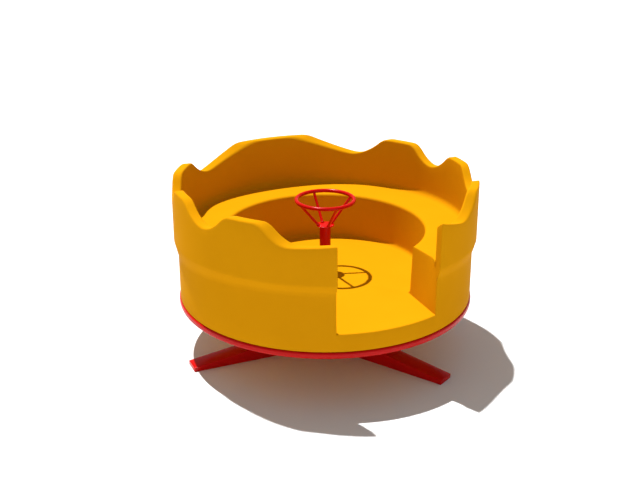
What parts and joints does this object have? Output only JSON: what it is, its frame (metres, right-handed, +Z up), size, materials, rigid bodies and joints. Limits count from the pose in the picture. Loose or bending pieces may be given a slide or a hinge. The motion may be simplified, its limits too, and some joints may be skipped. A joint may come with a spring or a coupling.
{
  "type": "playground carousel for small children",
  "caption": "Round turning tub with a ring bench, a doorway and a wavy crown rim, on a low legged steel base with a fixed hand wheel in the middle.",
  "frame": {"origin": "on the turning axis at the ground, in the middle of the hub's underside", "axes": "+Z up along the turning axis; the doorway faces -Y at rest, +X is on the right of someone who looks in through it"},
  "size_m": [1.539, 1.5255, 0.9355],
  "materials": {
    "yellow_plastic": "moulded, satin",
    "red_paint": "gloss powder coat",
    "black_bush": "turned, satin"
  },
  "bodies": {
    "base": {"hub_block": "red_paint", "leg_left": "red_paint", "leg_front": "red_paint", "leg_rear": "red_paint", "pedestal_tube": "red_paint", "pedestal_flange": "red_paint", "centre_post": "red_paint", "post_cap": "red_paint", "wheel_ring": "red_paint", "wheel_spoke_1": "red_paint", "wheel_spoke_2": "red_paint", "wheel_spoke_3": "red_paint", "wheel_spoke_4": "red_paint"},
    "turntable": {"turntable_rim": "red_paint", "bearing_housing": "red_paint", "turntable_rib_1": "red_paint", "turntable_rib_2": "red_paint", "turntable_rib_3": "red_paint", "turntable_rib_4": "red_paint", "turntable_rib_5": "red_paint", "turntable_rib_6": "red_paint", "floor_bush": "black_bush", "tub_floor": "yellow_plastic", "tub_underside": "yellow_plastic", "door_sill": "yellow_plastic", "bench_right_1": "yellow_plastic", "bench_right_2": "yellow_plastic", "bench_right_3": "yellow_plastic", "bench_right_4": "yellow_plastic", "bench_left_1": "yellow_plastic", "bench_left_2": "yellow_plastic", "bench_left_3": "yellow_plastic", "bench_left_4": "yellow_plastic", "wall_right_1": "yellow_plastic", "wall_right_2": "yellow_plastic", "wall_right_3": "yellow_plastic", "wall_right_4": "yellow_plastic", "wall_left_1": "yellow_plastic", "wall_left_2": "yellow_plastic", "wall_left_3": "yellow_plastic", "wall_left_4": "yellow_plastic"}
  },
  "joints": [
    {"name": "turntable_spin", "type": "hinge", "parent": "base", "child": "turntable", "pos_m": [0, 0, 0.288], "axis": [0, 0, 1], "continuous": true}
  ]
}
